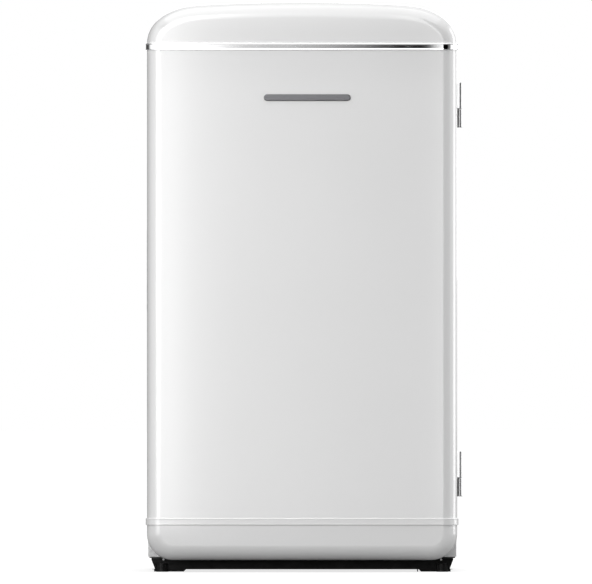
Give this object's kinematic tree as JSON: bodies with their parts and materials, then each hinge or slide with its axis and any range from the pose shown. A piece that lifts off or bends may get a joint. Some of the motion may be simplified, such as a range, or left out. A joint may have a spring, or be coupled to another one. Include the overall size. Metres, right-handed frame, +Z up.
{
  "type": "mini fridge",
  "caption": "Free-standing retro mini fridge: domed top, white door hung on the right, bright trim strips, black plinth.",
  "frame": {"origin": "centre of the envelope at floor level, hinges and wall spacers included", "axes": "+Z up, -Y out of the door's face, +X to the right as one faces the door"},
  "size_m": [0.4822, 0.5024, 0.8667],
  "materials": {
    "door_paint": "gloss",
    "cabinet_paint": "gloss",
    "cover_plastic": "gloss",
    "liner_plastic": "satin",
    "foam": "matte",
    "rear_sheet": "satin",
    "zinc_sheet": "satin",
    "screw_steel": "satin",
    "black_steel": "satin",
    "plinth_plastic": "satin",
    "button_plastic": "gloss",
    "foot_plastic": "satin",
    "foot_rubber": "matte",
    "gland_rubber": "matte",
    "compressor_enamel": "gloss",
    "motor_iron": "matte",
    "grommet_rubber": "matte",
    "relay_plastic": "matte",
    "condenser_enamel": "satin",
    "bracket_plastic": "matte",
    "copper": "satin",
    "evaporator_aluminium": "satin",
    "icebox_plastic": "satin",
    "tray_plastic": "gloss",
    "control_plastic": "satin",
    "lens_plastic": "gloss",
    "thermostat_plastic": "matte",
    "knob_plastic": "satin",
    "shelf_glass": "polished",
    "crisper_plastic": "gloss",
    "shelf_trim_plastic": "gloss",
    "switch_plastic": "satin",
    "gasket_rubber": "matte",
    "magnet_rubber": "matte",
    "grip_plastic": "satin",
    "trim_chrome": "polished",
    "badge_metal": "satin",
    "rack_plastic": "gloss",
    "rail_chrome": "polished",
    "hinge_chrome": "polished",
    "pin_steel": "polished"
  },
  "bodies": {
    "cabinet": {"right_side_panel": "cabinet_paint", "left_side_panel": "cabinet_paint", "top_cover": "cover_plastic", "front_crossbars": "cabinet_paint", "cabinet_liner": "liner_plastic", "cabinet_foam": "foam", "rear_panel": "rear_sheet", "compartment_plate": "zinc_sheet", "cabinet_fasteners": "screw_steel", "base_pan": "black_steel", "plinth_rail": "plinth_plastic", "corner_buttons": "button_plastic", "rear_feet": "foot_rubber", "cord_gland": "gland_rubber", "compressor_shell": "compressor_enamel", "compressor_motor": "motor_iron", "compressor_grommets": "grommet_rubber", "relay_cover": "relay_plastic", "condenser_tube": "condenser_enamel", "condenser_wires": "condenser_enamel", "condenser_brackets": "bracket_plastic", "filter_drier": "copper", "suction_line": "copper", "evaporator": "evaporator_aluminium", "icebox_frame": "icebox_plastic", "defrost_tray": "tray_plastic", "control_housing": "control_plastic", "lamp_lens": "lens_plastic", "thermostat": "thermostat_plastic", "crisper_cover": "shelf_glass", "upper_shelf": "shelf_glass", "lower_shelf": "shelf_glass", "shelf_trims": "shelf_trim_plastic", "light_switch_body": "switch_plastic", "cabinet_hinge_leaves": "hinge_chrome", "hinge_pins": "pin_steel"},
    "door": {"door_top_cap": "door_paint", "door_panel": "door_paint", "door_bottom_cap": "door_paint", "door_foam": "foam", "door_liner": "liner_plastic", "door_gasket": "gasket_rubber", "gasket_magnets": "magnet_rubber", "grip_insert": "grip_plastic", "upper_trim_strip": "trim_chrome", "lower_trim_strip": "door_paint", "badge": "badge_metal", "top_door_rack": "rack_plastic", "middle_door_rack": "rack_plastic", "bottom_door_rack": "rack_plastic", "bottle_rail": "rail_chrome", "door_hinge_leaves": "hinge_chrome", "door_hinge_screws": "screw_steel"},
    "right_levelling_foot": {"right_levelling_foot": "foot_plastic"},
    "left_levelling_foot": {"left_levelling_foot": "foot_plastic"},
    "thermostat_knob": {"thermostat_knob": "knob_plastic"},
    "light_switch_plunger": {"light_switch_plunger": "switch_plastic"},
    "icebox_flap": {"icebox_flap": "icebox_plastic"},
    "crisper_drawer": {"crisper_drawer": "crisper_plastic"}
  },
  "joints": [
    {"name": "door_hinge", "type": "hinge", "parent": "cabinet", "child": "door", "pos_m": [0.237, -0.1848, 0.45], "axis": [0, 0, 1], "range_deg": [0, 120]},
    {"name": "right_foot_turn", "type": "hinge", "parent": "cabinet", "child": "right_levelling_foot", "pos_m": [0.2104, -0.1668, 0.01], "axis": [0, 0, 1], "continuous": true},
    {"name": "left_foot_turn", "type": "hinge", "parent": "cabinet", "child": "left_levelling_foot", "pos_m": [-0.2166, -0.1668, 0.01], "axis": [0, 0, 1], "continuous": true},
    {"name": "thermostat_turn", "type": "hinge", "parent": "cabinet", "child": "thermostat_knob", "pos_m": [0.1569, -0.0348, 0.5725], "axis": [-1, 0, 0], "range_deg": [0, 270]},
    {"name": "switch_slide", "type": "slide", "parent": "cabinet", "child": "light_switch_plunger", "axis": [0, -1, 0], "range_m": [0, 0.004]},
    {"name": "icebox_hinge", "type": "hinge", "parent": "cabinet", "child": "icebox_flap", "pos_m": [0.1809, -0.0848, 0.71], "axis": [0, 0, 1], "range_deg": [0, 90]},
    {"name": "crisper_slide", "type": "slide", "parent": "cabinet", "child": "crisper_drawer", "axis": [0, -1, 0], "range_m": [0, 0.13]}
  ],
  "couplings": [
    {"joint": "switch_slide", "follows": "door_hinge", "m_per_rad": 0.0019},
    {"joint": "icebox_hinge", "follows": "door_hinge", "ratio": 0.745},
    {"joint": "crisper_slide", "follows": "door_hinge", "m_per_rad": 0.062}
  ]
}
